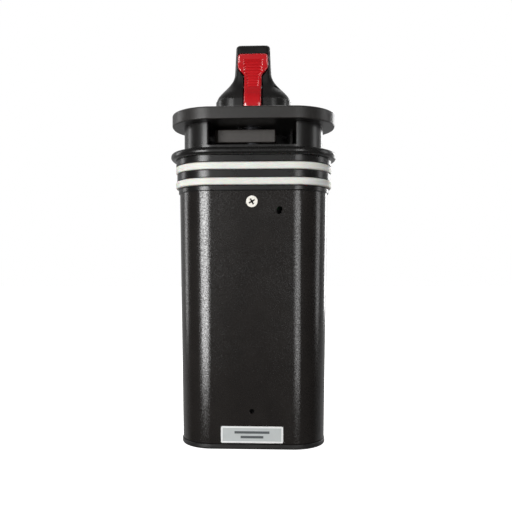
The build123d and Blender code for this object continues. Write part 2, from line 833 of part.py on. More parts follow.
# Lever: its head, its stem and the pin that it rocks on
lever_half_width = 5.85
lever_side_gap = 0.9
head_half_width = 10.3
head_gap = 0.4
head_corner = 1.8
lever_top = fin_top - 6.6
head_bottom = flange_top + 31.0
stem_top = flange_top + 25.6
lever_toe = flange_top - 1.6
lever_foot = flange_top + 1.8
toe_half_width = 4.0
lever_pin_radius = 1.5
lever_pin_y = -7.5
lever_pin_z = flange_top + 18.4
lever_pin_half_length = 13.0
lever_hub_radius = 3.2
pocket_floor = -2.6
low_pocket_floor = -10.5
low_pocket_top = flange_top + 13.4
spring_z = flange_top + 33.4
spring_coil_radius = 1.9
spring_wire = 0.28
spring_turns = 6
spring_hole_bottom = 1.6
spring_rest_y = -6.4  # the lever's back face at the spring's height


def flared(z, half_top, half_base, flare_height):
    """Half the fin's size at height z: sides that lean out a little, sweeping out to the base."""
    lean = half_top + fin_splay * (fin_top - z)
    lean_at_rim = half_top + fin_splay * (fin_top - base_rim_top)
    rise = min((z - base_rim_top) / flare_height, 1)
    return lean + (half_base - lean_at_rim) * ((1 + cos(pi * rise)) / 2) ** flare_power


def lever_outline(gap):
    """The lever seen from the front: a wide head that narrows to a stem, grown by a gap."""
    side = lever_half_width + (lever_side_gap if gap else 0)
    top = lever_top + 1.5 * gap
    wide = head_half_width + gap
    right = [(side, lever_toe - 2), (side, stem_top), (wide, head_bottom), (wide, top)]
    with BuildLine() as outline:
        FilletPolyline(*right, *[(-x, z) for x, z in reversed(right)], radius=head_corner, close=True)
    make_face(outline.line)


def fin_section(z, inset=0.0):
    """The fin's outline at height z, drawn in by an inset where its top is rounded."""
    half_width = flared(z, fin_half_width, base_half_width - crease, flare_height_x) - inset
    half_depth = flared(z, fin_half_depth, base_half_depth - crease, flare_height_y) - inset
    corner = min(flared(z, fin_corner, base_corner, flare_height_x), half_depth - 0.3) - 0.6 * inset
    with BuildSketch(Plane.XY.offset(z)) as section:
        RectangleRounded(2 * half_width, 2 * half_depth, corner)
    return section.sketch


fin_shoulder = fin_top - fin_round
fin_levels = [(base_rim_top + flare_height_x * step / flare_steps, 0) for step in range(flare_steps + 1)]
for turn in (0, 30, 60, 90):
    round_rise = fin_round * sin(radians(turn))
    fin_levels.append((fin_shoulder + round_rise, fin_round * (1 - cos(radians(turn)))))

with BuildPart() as knob:
    with BuildSketch(Plane.XY.offset(base_z)):
        RectangleRounded(2 * base_half_width, 2 * base_half_depth, base_corner)
    extrude(amount=base_rim_top - base_z)
    fillet(knob.faces().sort_by(Axis.Z)[0].edges(), 0.8)
    fillet(knob.faces().sort_by(Axis.Z)[-1].edges(), crease)
    loft([fin_section(z, inset) for z, inset in fin_levels], ruled=True)
    with BuildSketch(Plane.XZ.offset(-pocket_floor)):
        lever_outline(head_gap)
        with Locations((0, (low_pocket_top + base_z) / 2 - 2)):
            Rectangle(4 * lever_half_width, low_pocket_top - base_z + 4, mode=Mode.SUBTRACT)
    extrude(amount=base_half_depth, mode=Mode.SUBTRACT)
    with BuildSketch(Plane.XZ.offset(-low_pocket_floor)):
        with Locations((0, (low_pocket_top + base_z) / 2)):
            Rectangle(2 * lever_half_width + 2 * lever_side_gap, low_pocket_top - base_z + 1)
    extrude(amount=base_half_depth, mode=Mode.SUBTRACT)
    with BuildSketch(Plane.YZ.offset(-lever_pin_half_length)):
        with Locations((lever_pin_y, lever_pin_z)):
            Circle(lever_pin_radius + press_gap)
    extrude(amount=2 * base_half_width, mode=Mode.SUBTRACT)
    with BuildSketch(Plane.XZ.offset(-pocket_floor)):
        with Locations((0, spring_z)):
            Circle(spring_coil_radius + spring_wire + loose_fit)
    extrude(amount=-(spring_hole_bottom - pocket_floor), mode=Mode.SUBTRACT)
    with BuildSketch(Plane.XY.offset(base_z)):
        Circle(spindle_radius + press_gap)
    extrude(amount=spindle_top - base_z, mode=Mode.SUBTRACT)
    with BuildSketch(Plane.XZ.offset(spindle_radius + 3)):
        with Locations((0, drive_pin_z)):
            Circle(drive_pin_radius + press_gap)
    extrude(amount=-2 * base_half_depth, mode=Mode.SUBTRACT)
finish(knob, "knob")

with BuildPart() as drive_pin:
    with BuildSketch(Plane.XZ.offset(spindle_radius + 3)):
        with Locations((0, drive_pin_z)):
            Circle(drive_pin_radius)
    extrude(amount=-(spindle_radius + 3 + base_half_depth - 1.2))
finish(drive_pin, "drive_pin")

with BuildPart() as lever_pin:
    with BuildSketch(Plane.YZ.offset(-lever_pin_half_length)):
        with Locations((lever_pin_y, lever_pin_z)):
            Circle(lever_pin_radius)
    extrude(amount=2 * lever_pin_half_length)
finish(lever_pin, "lever_pin")

# ---------------------------------------------------------------- red lever and its spring
# Each profile point is a Y and a height above the flange
front_profile = [(-9.7, 33.9), (-10.2, 25.4), (-11.9, 19.4), (-14.4, 14.6), (-16.9, 10.6), (-17.7, 6.4)]
back_profile = [(-14.2, 6.4), (-13.2, 10.8), (-10.6, 15.0), (-7.6, 19.4), (-6.6, 25.4), (spring_rest_y, 33.9)]
lever_front = [(-10.7, lever_top - 0.3)] + [(y, flange_top + rise) for y, rise in front_profile]
lever_front.append((-17.5, lever_foot))
lever_back = [(-14.1, lever_foot)] + [(y, flange_top + rise) for y, rise in back_profile]
lever_back.append((-7.2, lever_top))
toe_y = -15.8
toe_depth = 2.8
rib_groove = 0.9
rib_y = -10.7
rib_levels = [lever_top - drop for drop in (3.8, 6.6, 9.8, 12.6, 15.2, 17.6)]
rib_margin = 2.0

with BuildPart() as red_lever:
    with BuildSketch(Plane.YZ):
        with BuildLine():
            Spline(*lever_front)
            Line(lever_front[-1], lever_back[0])
            Spline(*lever_back)
            Line(lever_back[-1], lever_front[0])
        make_face()
    extrude(amount=head_half_width + 1, both=True)
    with BuildSketch(Plane.XZ):
        lever_outline(0)
    extrude(amount=2 * base_half_depth, mode=Mode.INTERSECT)
    with BuildSketch(Plane.YZ):
        with Locations((lever_pin_y, lever_pin_z)):
            Circle(lever_hub_radius)
    extrude(amount=lever_half_width, both=True)
    with BuildSketch(Plane.YZ):
        with Locations((toe_y, (lever_foot + lever_toe + 1) / 2)):
            RectangleRounded(toe_depth, lever_foot - lever_toe + 1, 0.6)
    extrude(amount=toe_half_width, both=True)
    with BuildSketch(Plane.YZ):
        with Locations((lever_pin_y, lever_pin_z)):
            Circle(lever_pin_radius + running_fit)
    extrude(amount=2 * lever_half_width, both=True, mode=Mode.SUBTRACT)
    for z in rib_levels:
        with BuildSketch(Plane.YZ):
            with Locations((rib_y, z)):
                Circle(rib_groove)
        rib_reach = (lever_half_width if z < head_bottom else head_half_width) - rib_margin
        extrude(amount=rib_reach, both=True, mode=Mode.SUBTRACT)
finish(red_lever, "red_lever")

spring_start = spring_hole_bottom - 2 * spring_wire
spring_end = spring_rest_y + 2 * spring_wire
with BuildPart() as lever_spring:
    spring_length = spring_start - spring_end
    with BuildLine():
        coil = Helix(
            spring_length / spring_turns,
            spring_length,
            spring_coil_radius,
            center=(0, spring_start, spring_z),
            direction=(0, -1, 0),
        )
    with BuildSketch(Plane(origin=coil @ 0, z_dir=coil % 0)):
        Circle(spring_wire)
    sweep(path=coil, is_frenet=True)
finish(lever_spring, "lever_spring")

# ---------------------------------------------------------------- label
label_width = 41.0
label_height = 11.0
label_z = 9.8  # its middle
label_thickness = 0.25
label_corner = 1.0

with BuildPart() as rating_label:
    for z in (label_z - label_height, label_z + label_height):
        with BuildSketch(Plane.XY.offset(z)):
            case_outline(z, label_thickness)
    loft()
    for z in (label_z - label_height, label_z + label_height):
        with BuildSketch(Plane.XY.offset(z)):
            case_outline(z)
    loft(mode=Mode.SUBTRACT)
    with BuildSketch(Plane.XZ):
        with Locations((0, label_z)):
            RectangleRounded(label_width, label_height, label_corner)
    extrude(amount=case_depth, mode=Mode.INTERSECT)
finish(rating_label, "rating_label")
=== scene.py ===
import json
import math
import bmesh
import bpy
from mathutils import Matrix, Vector


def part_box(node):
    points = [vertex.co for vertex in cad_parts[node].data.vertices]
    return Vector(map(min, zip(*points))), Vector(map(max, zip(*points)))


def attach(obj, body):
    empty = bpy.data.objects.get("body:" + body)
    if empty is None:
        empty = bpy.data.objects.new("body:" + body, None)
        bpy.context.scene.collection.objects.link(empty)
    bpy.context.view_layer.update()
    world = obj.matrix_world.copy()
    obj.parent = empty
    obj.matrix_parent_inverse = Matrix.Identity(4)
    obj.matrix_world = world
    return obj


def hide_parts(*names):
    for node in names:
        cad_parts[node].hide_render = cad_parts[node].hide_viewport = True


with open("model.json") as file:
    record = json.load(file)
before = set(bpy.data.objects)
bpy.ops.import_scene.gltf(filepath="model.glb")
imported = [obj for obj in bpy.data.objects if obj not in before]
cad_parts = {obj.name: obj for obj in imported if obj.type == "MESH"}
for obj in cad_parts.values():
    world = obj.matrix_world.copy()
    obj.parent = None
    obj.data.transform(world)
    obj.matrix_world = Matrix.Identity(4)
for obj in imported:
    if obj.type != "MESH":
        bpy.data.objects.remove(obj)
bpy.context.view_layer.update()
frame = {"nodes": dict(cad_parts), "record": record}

millimetre = 0.001
bodyOf = {node: body for body, nodes in frame["record"]["behaviour"]["bodies"].items() for node in nodes}
slotOf = {row["node"]: row["material_slot"] for row in frame["record"]["subparts"]}


def linearColour(hexText):
    # sRGB hex to the linear values that Blender's sockets take
    channels = [int(hexText[i:i + 2], 16) / 255 for i in (0, 2, 4)]
    return tuple(c / 12.92 if c <= 0.04045 else ((c + 0.055) / 1.055) ** 2.4 for c in channels) + (1.0,)


def addNode(tree, kind, settings=None, links=None):
    # adds a node; each key of the settings is a socket's name or number, or else a property
    node = tree.nodes.new(kind)
    for key, value in (settings or {}).items():
        if isinstance(key, int) or key in node.inputs:
            node.inputs[key].default_value = value
        else:
            setattr(node, key, value)
    for key, source in (links or {}).items():
        tree.links.new(source, node.inputs[key])
    return node


def startMaterial(name, settings):
    material = bpy.data.materials.new(name)
    material.use_nodes = True
    tree = material.node_tree
    tree.nodes.clear()
    shader = addNode(tree, "ShaderNodeBsdfPrincipled", settings)
    addNode(tree, "ShaderNodeOutputMaterial", links={"Surface": shader.outputs["BSDF"]})
    place = addNode(tree, "ShaderNodeTexCoord").outputs["Object"]
    return material, tree, shader, place


def patternScale(size):
    # a pattern's size in millimetres to a texture scale on object coordinates in metres
    return 1 / (size * millimetre)


# moulded and flat finishes: patch, grain and depth are in millimetres
surfaces = {
    # ABS from a spark-eroded mould: an even dark satin whose grain breaks highlights into sparkles.
    # The real grain is about 0.2 mm, drawn coarser so that it shows.
    "case_black": dict(colour="1f1d1c", second="2b2826", patch=14, rough=0.20, roughSpread=0.05, grain=0.80,
                       depth=0.04, fine=8.0, sparkle=0.6),
    # the same ABS from a smoother mould
    "cap_black": dict(colour="1d1d1d", second="282726", patch=12, rough=0.40, roughSpread=0.08, grain=0.8,
                      depth=0.05),
    # glass-filled nylon: dull, with fine mottling
    "connector_black": dict(colour="141415", second="202022", patch=5, rough=0.48, roughSpread=0.08, grain=0.5,
                            depth=0.03),
    # polished ABS over the seals' lands: dark and glossy, with faint flow marks
    "head_black": dict(colour="171717", second="242322", patch=16, rough=0.27, roughSpread=0.08, grain=1.1,
                       depth=0.018),
    # satin ABS plate, a little greyer
    "flange_black": dict(colour="272625", second="343230", patch=10, rough=0.38, roughSpread=0.08, grain=0.8,
                         depth=0.04),
    # smooth satin ABS that hands have rubbed
    "knob_black": dict(colour="1a1a1a", second="2a2928", patch=9, rough=0.30, roughSpread=0.12, grain=0.9,
                       depth=0.018),
    # glossy ABS coloured right through
    "lever_red": dict(colour="c2131d", second="d4282d", patch=6, rough=0.20, roughSpread=0.06, grain=1.6,
                      depth=0.010, coat=0.8),
    # moulded silicone: soft white, with a little dust held in the surface
    "seal_white": dict(colour="fbfbf5", second="ebebe2", patch=5, rough=0.46, roughSpread=0.10, grain=0.7,
                       depth=0.02, subsurface=0.15),
    # turned acetal
    "bush_white": dict(colour="dedbd2", second="cfccc2", patch=3, rough=0.35, roughSpread=0.06, grain=0.4,
                       depth=0.01),
    # glass-filled nylon bar, dry and grey
    "bar_grey": dict(colour="33302e", second="433f3b", patch=2.2, rough=0.46, roughSpread=0.10, grain=0.7,
                     depth=0.05),
    # shrunk PVC sleeve
    "cell_wrap": dict(colour="1f6f80", second="2a8191", patch=8, rough=0.28, roughSpread=0.06, grain=2.5,
                      depth=0.02),
    # dead-flat moulded ABS, almost black, so that nothing shows through the case's holes
    "holder_grey": dict(colour="060606", second="0c0c0d", patch=6, rough=0.8, roughSpread=0.06, grain=0.6,
                        depth=0.03, shine=0.08),
    # vulcanised fibre sheet: pale, slightly mottled paper
    "fibre_sheet": dict(colour="b9b29c", second="a39b83", patch=1.2, rough=0.75, roughSpread=0.08, grain=0.35,
                        depth=0.03),
    # closed-cell foam: dull and pitted
    "foam": dict(colour="262627", second="333334", patch=1.0, rough=0.9, roughSpread=0.05, grain=0.6,
                 depth=0.12, pitted=True),
    # moulded epoxy packages
    "component_black": dict(colour="161617", second="222224", patch=2, rough=0.55, roughSpread=0.08, grain=0.3,
                            depth=0.015),
    # silicone lead insulation
    "lead_red": dict(colour="a01818", second="b42222", patch=4, rough=0.5, roughSpread=0.06, grain=0.8,
                     depth=0.02),
    "lead_black": dict(colour="1a1a1a", second="282828", patch=4, rough=0.5, roughSpread=0.06, grain=0.8,
                       depth=0.02),
}
surfaceShared = dict(ior=1.5, shine=0.5, coatRough=0.12, scatterDepth=0.002, patchDetail=5.0, rubbedSize=2.3,
                     rubbedDetail=8.0, rubbedRough=0.65, rubbedLow=0.3, rubbedHigh=0.7, grainDetail=3.0,
                     grainRough=0.6, fleckLow=0.38, fleckHigh=0.62)

finishes = {}
for name, look in surfaces.items():
    shine = look.get("shine", surfaceShared["shine"])
    uniform = {"Roughness": look["rough"], "IOR": surfaceShared["ior"], "Specular IOR Level": shine,
               "Coat Weight": look.get("coat", 0.0), "Coat Roughness": surfaceShared["coatRough"],
               "Subsurface Weight": look.get("subsurface", 0.0),
               "Subsurface Scale": surfaceShared["scatterDepth"]}
    material, tree, shader, place = startMaterial(name, uniform)

    # slow changes of shade
    patches = addNode(tree, "ShaderNodeTexNoise", {"Scale": patternScale(look["patch"]),
                      "Detail": surfaceShared["patchDetail"]}, {"Vector": place})
    tint = addNode(tree, "ShaderNodeMix", {"data_type": "RGBA", 6: linearColour(look["colour"]),
                   7: linearColour(look["second"])}, {0: patches.outputs["Fac"]})
    tree.links.new(tint.outputs[2], shader.inputs["Base Color"])

    # rubbed and dull places
    rubbedSize = look["patch"] * surfaceShared["rubbedSize"]
    rubbed = addNode(tree, "ShaderNodeTexNoise", {"Scale": patternScale(rubbedSize),
                     "Detail": surfaceShared["rubbedDetail"], "Roughness": surfaceShared["rubbedRough"]},
                     {"Vector": place})
    spread = addNode(tree, "ShaderNodeMapRange", {"From Min": surfaceShared["rubbedLow"],
                     "From Max": surfaceShared["rubbedHigh"], "To Min": look["rough"] - look["roughSpread"] / 2,
                     "To Max": look["rough"] + look["roughSpread"] / 2}, {"Value": rubbed.outputs["Fac"]})
    tree.links.new(spread.outputs["Result"], shader.inputs["Roughness"])

    # the surface's grain
    if look.get("pitted"):
        grain = addNode(tree, "ShaderNodeTexVoronoi", {"Scale": patternScale(look["grain"])},
                        {"Vector": place}).outputs["Distance"]
    else:
        grain = addNode(tree, "ShaderNodeTexNoise", {"Scale": patternScale(look["grain"]),
                        "Detail": look.get("fine", surfaceShared["grainDetail"]),
                        "Roughness": surfaceShared["grainRough"]}, {"Vector": place}).outputs["Fac"]
    bump = addNode(tree, "ShaderNodeBump", {"Strength": 1.0, "Distance": look["depth"] * millimetre},
                   {"Height": grain})
    tree.links.new(bump.outputs["Normal"], shader.inputs["Normal"])
    if "sparkle" in look:
        # the grain's hollows shade themselves, so its highlights break up
        flecks = addNode(tree, "ShaderNodeMapRange", {"From Min": surfaceShared["fleckLow"],
                         "From Max": surfaceShared["fleckHigh"], "To Min": shine - look["sparkle"] / 2,
                         "To Max": shine + look["sparkle"] / 2}, {"Value": grain})
        tree.links.new(flecks.outputs["Result"], shader.inputs["Specular IOR Level"])
    finishes[name] = material

# metals: their marks run along one axis, given by how much each axis of the pattern is stretched
metals = {
    # zinc plate over pressed steel: bright, with fine marks
    "screw_steel": dict(colour="e6e3dc", second="c8c4bc", rough=0.42, grain=0.35, depth=0.02,
                        stretch=(1, 1, 1)),
    # ground stainless pins
    "pin_steel": dict(colour="b4b5b6", second="94969a", rough=0.30, grain=0.2, depth=0.01,
                      stretch=(6, 6, 1)),
    # turned steel with a black oxide skin: rings round the axis
    "blackened_steel": dict(colour="2c2c2e", second="1e1e20", rough=0.42, grain=0.25, depth=0.012,
                            stretch=(0.1, 0.1, 5)),
    # drawn spring wire
    "spring_steel": dict(colour="a8a8aa", second="88888b", rough=0.30, grain=0.15, depth=0.006,
                         stretch=(1, 1, 1)),
    # plated brass contacts
    "contact_brass": dict(colour="dcb561", second="c39a48", rough=0.22, grain=0.25, depth=0.01,
                          stretch=(0.2, 0.2, 4)),
    # rolled nickel strip
    "nickel": dict(colour="bdb8ae", second="a39e95", rough=0.34, grain=0.3, depth=0.008, stretch=(0.1, 4, 1)),
}
metalShared = dict(markDetail=4.0, stainSize=3.0, stainDetail=6.0, smoother=0.06, rougher=0.10)

for name, look in metals.items():
    material, tree, shader, place = startMaterial(name, {"Metallic": 1.0, "Roughness": look["rough"]})
    stretched = addNode(tree, "ShaderNodeMapping", {"Scale": look["stretch"]}, {"Vector": place})
    marks = addNode(tree, "ShaderNodeTexNoise", {"Scale": patternScale(look["grain"]),
                    "Detail": metalShared["markDetail"]}, {"Vector": stretched.outputs["Vector"]})
    stains = addNode(tree, "ShaderNodeTexNoise", {"Scale": patternScale(metalShared["stainSize"]),
                     "Detail": metalShared["stainDetail"]}, {"Vector": place})
    tint = addNode(tree, "ShaderNodeMix", {"data_type": "RGBA", 6: linearColour(look["colour"]),
                   7: linearColour(look["second"])}, {0: stains.outputs["Fac"]})
    tree.links.new(tint.outputs[2], shader.inputs["Base Color"])
    spread = addNode(tree, "ShaderNodeMapRange", {"To Min": look["rough"] - metalShared["smoother"],
                     "To Max": look["rough"] + metalShared["rougher"]}, {"Value": marks.outputs["Fac"]})
    tree.links.new(spread.outputs["Result"], shader.inputs["Roughness"])
    bump = addNode(tree, "ShaderNodeBump", {"Strength": 1.0, "Distance": look["depth"] * millimetre},
                   {"Height": marks.outputs["Fac"]})
    tree.links.new(bump.outputs["Normal"], shader.inputs["Normal"])
    finishes[name] = material

# solder mask over copper: green, with slightly lighter tracks about 1.5 mm apart
board = dict(mask="0f5a2a", paleMask="126532", track="2c8a4c", rough=0.32, coat=0.3, pattern=6.0,
             trackWide=0.03, weave=0.8, weaveDetail=3.0, depth=0.02)
material, tree, shader, place = startMaterial("board_green", {"Roughness": board["rough"],
                                              "Coat Weight": board["coat"]})
tracks = addNode(tree, "ShaderNodeTexBrick", {"Scale": patternScale(board["pattern"]),
                 "Color1": linearColour(board["mask"]), "Color2": linearColour(board["paleMask"]),
                 "Mortar": linearColour(board["track"]), "Mortar Size": board["trackWide"]}, {"Vector": place})
weave = addNode(tree, "ShaderNodeTexNoise", {"Scale": patternScale(board["weave"]),
                "Detail": board["weaveDetail"]}, {"Vector": place})
bump = addNode(tree, "ShaderNodeBump", {"Strength": 1.0, "Distance": board["depth"] * millimetre},
               {"Height": weave.outputs["Fac"]})
tree.links.new(tracks.outputs["Color"], shader.inputs["Base Color"])
tree.links.new(bump.outputs["Normal"], shader.inputs["Normal"])
finishes["board_green"] = material

# printed polyester film: pale grey panel in a white border, with plain bars where a maker would print text
label = dict(borderWide=1.2, barHalfWide=(11.5, 7.5), barRise=(1.5, -1.6), barHalfHigh=0.8, border="fafbfa",
             panel="c3c8c8", panelPale="d2d6d5", ink="5b6062", rough=0.38, ior=1.5, cloud=4.0, cloudDetail=4.0,
             ripple=1.5, rippleDetail=2.0, depth=0.01)
labelLow, labelHigh = (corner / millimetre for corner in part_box("rating_label"))
labelMiddle = (labelLow.z + labelHigh.z) / 2
material, tree, shader, place = startMaterial("label_grey", {"Roughness": label["rough"], "IOR": label["ior"]})
parts = addNode(tree, "ShaderNodeSeparateXYZ", links={"Vector": place})
across = addNode(tree, "ShaderNodeMath", {"operation": "ABSOLUTE"}, {0: parts.outputs["X"]}).outputs[0]


def insideBox(halfWide, middle, halfHigh):
    # 1 inside a rectangle on the label, 0 outside it
    rise = addNode(tree, "ShaderNodeMath", {"operation": "SUBTRACT", 1: middle * millimetre},
                   {0: parts.outputs["Z"]})
    height = addNode(tree, "ShaderNodeMath", {"operation": "ABSOLUTE"}, {0: rise.outputs[0]})
    narrow = addNode(tree, "ShaderNodeMath", {"operation": "LESS_THAN", 1: halfWide * millimetre}, {0: across})
    low = addNode(tree, "ShaderNodeMath", {"operation": "LESS_THAN", 1: halfHigh * millimetre},
                  {0: height.outputs[0]})
    return addNode(tree, "ShaderNodeMath", {"operation": "MULTIPLY"},
                   {0: narrow.outputs[0], 1: low.outputs[0]}).outputs[0]


panel = insideBox(labelHigh.x - label["borderWide"], labelMiddle,
                  labelHigh.z - labelMiddle - label["borderWide"])
cloud = addNode(tree, "ShaderNodeTexNoise", {"Scale": patternScale(label["cloud"]),
                "Detail": label["cloudDetail"]}, {"Vector": place})
panelTint = addNode(tree, "ShaderNodeMix", {"data_type": "RGBA", 6: linearColour(label["panel"]),
                    7: linearColour(label["panelPale"])}, {0: cloud.outputs["Fac"]})
printed = addNode(tree, "ShaderNodeMix", {"data_type": "RGBA", 6: linearColour(label["border"])},
                  {0: panel, 7: panelTint.outputs[2]}).outputs[2]
for halfWide, rise in zip(label["barHalfWide"], label["barRise"]):
    bar = insideBox(halfWide, labelMiddle + rise, label["barHalfHigh"])
    printed = addNode(tree, "ShaderNodeMix", {"data_type": "RGBA", 7: linearColour(label["ink"])},
                      {0: bar, 6: printed}).outputs[2]
tree.links.new(printed, shader.inputs["Base Color"])
ripple = addNode(tree, "ShaderNodeTexNoise", {"Scale": patternScale(label["ripple"]),
                 "Detail": label["rippleDetail"]}, {"Vector": place})
bump = addNode(tree, "ShaderNodeBump", {"Strength": 1.0, "Distance": label["depth"] * millimetre},
               {"Height": ripple.outputs["Fac"]})
tree.links.new(bump.outputs["Normal"], shader.inputs["Normal"])
finishes["label_grey"] = material

# painted shade for a screw's recess or a small hole: a dull, dark, gritty material that stands in for the shade
# that falls there
paintedShade = dict(colour="0b0a09", second="2a2622", rough=0.85, shine=0.1, grit=0.4, gritDetail=4.0)
material, tree, shader, place = startMaterial("painted_recess_shade", {"Roughness": paintedShade["rough"],
                                              "Specular IOR Level": paintedShade["shine"]})
grit = addNode(tree, "ShaderNodeTexNoise", {"Scale": patternScale(paintedShade["grit"]),
               "Detail": paintedShade["gritDetail"]}, {"Vector": place})
tint = addNode(tree, "ShaderNodeMix", {"data_type": "RGBA", 6: linearColour(paintedShade["colour"]),
               7: linearColour(paintedShade["second"])}, {0: grit.outputs["Fac"]})
tree.links.new(tint.outputs[2], shader.inputs["Base Color"])
finishes["painted_recess_shade"] = material
print("finishes made:", len(finishes))

# how every piece is shaded; angles are in degrees
shading = dict(sharp=32, edgeSegments=2)


def finishPiece(bm, name, node, edge=0.0, sharp=shading["sharp"]):
    # turns a bmesh into a piece that stands for a CAD node, with soft shading between its sharp edges
    for face in bm.faces:
        face.smooth = True
    for line in bm.edges:
        line.smooth = line.is_manifold and line.calc_face_angle(0.0) < math.radians(sharp)
    mesh = bpy.data.meshes.new(name)
    bm.to_mesh(mesh)
    bm.free()
    piece = bpy.data.objects.new(name, mesh)
    bpy.context.scene.collection.objects.link(piece)
    mesh.materials.append(finishes[slotOf[node]])
    if edge:
        bevel = piece.modifiers.new("softEdges", "BEVEL")
        bevel.width = edge * millimetre
        bevel.segments = shading["edgeSegments"]
        bevel.limit_method = "ANGLE"
        bevel.angle_limit = math.radians(sharp)
        bevel.harden_normals = True
    even = piece.modifiers.new("evenShading", "WEIGHTED_NORMAL")
    even.keep_sharp = True
    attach(piece, bodyOf[node])
    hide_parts(node)
    return piece


# pieces that keep the CAD shape, with merged corners, soft shading and small edge rounds in millimetres
softEdges = {"body_shell": 0.2, "connector_block": 0.15, "seal_carrier": 0.25, "locking_bar": 0.2, "knob": 0.3}
rebuilt = {"red_lever", "lower_seal", "upper_seal"}
kept = dict(mergeWithin=0.001, flatWithin=0.4)  # millimetres and degrees
headSides = {"case_screws": 1, "flange_screws": 2}  # the axis that these screws' heads face
recessStart = 0.12  # how far under a head's face its recess begins
drainHole = dict(height=25.2, radius=1.75, wallLean=0.5)
for node in sorted(frame["nodes"]):
    if node in rebuilt:
        continue
    bm = bmesh.new()
    bm.from_mesh(frame["nodes"][node].data)
    bmesh.ops.remove_doubles(bm, verts=bm.verts, dist=kept["mergeWithin"] * millimetre)
    bmesh.ops.dissolve_limit(bm, angle_limit=math.radians(kept["flatWithin"]), verts=bm.verts, edges=bm.edges)
    if node in headSides:
        # everything deeper than the head's face is the recess, or the hidden shank, and takes the painted shade
        axis = headSides[node]
        recess = max(abs(point.co[axis]) for point in bm.verts) - recessStart * millimetre
        for face in bm.faces:
            face.material_index = int(abs(face.calc_center_median()[axis]) < recess)
    if node == "body_shell":
        # the drain hole's wall takes the painted shade too
        for face in bm.faces:
            middle = face.calc_center_median()
            fromHole = math.hypot(middle.x, middle.z - drainHole["height"] * millimetre)
            face.material_index = int(middle.y < 0 and abs(face.normal.y) < drainHole["wallLean"]
                                      and fromHole < drainHole["radius"] * millimetre)
    piece = finishPiece(bm, "smooth_" + node, node, softEdges.get(node, 0.0))
    # a second slot holds the painted shade of the screws' recesses and the drain hole's wall
    if node in headSides or node == "body_shell":
        piece.data.materials.append(finishes["painted_recess_shade"])
print("kept shapes shaded")

# ring seals: a soft lip at each side of the outer face, and a fine parting line along its middle
seal = dict(cornerSteps=14, cornerCentre=26.85, thick=3.4, lipRound=1.0, lipSteps=6, partingDepth=0.16,
            partingHalf=0.22, sharp=50)


def outlineLoop(bm, halfWide, halfDeep, corner, height):
    # a closed rounded rectangle of vertices, joined by edges
    loop = []
    for turn, (sideX, sideY) in enumerate([(1, 1), (-1, 1), (-1, -1), (1, -1)]):
        for step in range(seal["cornerSteps"] + 1):
            angle = math.radians(90 * turn + 90 * step / seal["cornerSteps"])
            loop.append(bm.verts.new((sideX * (halfWide - corner) + corner * math.cos(angle),
                                      sideY * (halfDeep - corner) + corner * math.sin(angle), height)))
    return [bm.edges.new((loop[i - 1], loop[i])) for i in range(len(loop))]


for node in ("lower_seal", "upper_seal"):
    low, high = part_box(node)
    halfWide, halfDeep = high.x, high.y
    corner = halfWide - seal["cornerCentre"] * millimetre  # its centre stays where the case's corner has it
    middle = (low.z + high.z) / 2
    lip = seal["lipRound"] * millimetre
    partingHalf = seal["partingHalf"] * millimetre

    # the section's points as (how far in, height): the lower half, then the upper half as its mirror image
    section = [(seal["thick"] * millimetre, low.z)]
    for step in range(seal["lipSteps"] + 1):
        angle = math.radians(90 * step / seal["lipSteps"])
        section.append((lip * (1 - math.sin(angle)), low.z + lip * (1 - math.cos(angle))))
    section += [(0.0, middle - partingHalf), (seal["partingDepth"] * millimetre, middle)]
    section += [(inset, low.z + high.z - height) for inset, height in reversed(section[:-1])]

    bm = bmesh.new()
    loops = [outlineLoop(bm, halfWide - inset, halfDeep - inset, corner - inset, height)
             for inset, height in section]
    for a, b in zip(loops, loops[1:] + loops[:1]):
        bmesh.ops.bridge_loops(bm, edges=a + b)
    bmesh.ops.recalc_face_normals(bm, faces=bm.faces)
    finishPiece(bm, "ring_" + node, node, sharp=seal["sharp"])
print("seals made")

# red lever: a dished thumb pad with a raised rim and stepped ribs, a stem, and a foot over the knob's rim.
# The front and back are (height, depth) points in millimetres. The pin's hub and the ends follow the CAD.
leverLow, leverHigh = (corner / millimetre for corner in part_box("red_lever"))
pinLow, pinHigh = (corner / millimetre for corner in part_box("lever_pin"))
hubMiddle = (pinLow + pinHigh) / 2
lever = dict(
    front=[(219.0, -17.4), (226.4, -17.5), (231.0, -17.7), (235.2, -16.9), (239.2, -14.4), (244.0, -11.9),
           (250.0, -10.2), (258.5, -9.7), (265.8, -10.6), (272.0, -12.0)],
    back=[(219.0, -14.0), (226.4, -14.1), (231.0, -14.2), (235.4, -13.2), (239.6, -10.6), (244.0, -7.6),
          (250.0, -6.6), (258.5, -6.4), (265.8, -7.2), (272.0, -8.0)],
    bottom=226.4, top=265.6, shoulderLow=250.0, shoulderHigh=257.0, stemHalf=5.85, headHalf=leverHigh.x,
    corner=2.2, padSide=1.5, padHalf=6.3, padTop=261.8, padSink=1.0, padLead=1.5, padWallOut=-0.2, padWallIn=0.9,
    ribs=9, ribLow=243.4, ribHigh=261.4, ribStep=1.2, ribRiseEnd=0.78, ribDropStart=0.80, ribFade=0.4,
    crown=0.5, crownFade=4.0, edgeDrop=0.7, edgeWide=0.8, columns=48, rows=200,
    hubRadius=3.2, hubInset=0.2, hubSides=48, toeY=-15.8, toeDepth=2.8, toeHalf=4.0, toeOverlap=1.0, sharp=40,
)


def curveThrough(points, z):
    # a smooth curve through the points of a side, read at height z
    for i in range(1, len(points) - 2):
        (z0, y0), (z1, y1), (z2, y2), (z3, y3) = points[i - 1:i + 3]
        if z <= z2 or i == len(points) - 3:
            t = min(max((z - z1) / (z2 - z1), 0), 1)
            slopeA = (y2 - y0) / (z2 - z0) * (z2 - z1)
            slopeB = (y3 - y1) / (z3 - z1) * (z2 - z1)
            return (y1 * (2 * t ** 3 - 3 * t ** 2 + 1) + slopeA * (t ** 3 - 2 * t ** 2 + t)
                    + y2 * (3 * t ** 2 - 2 * t ** 3) + slopeB * (t ** 3 - t ** 2))


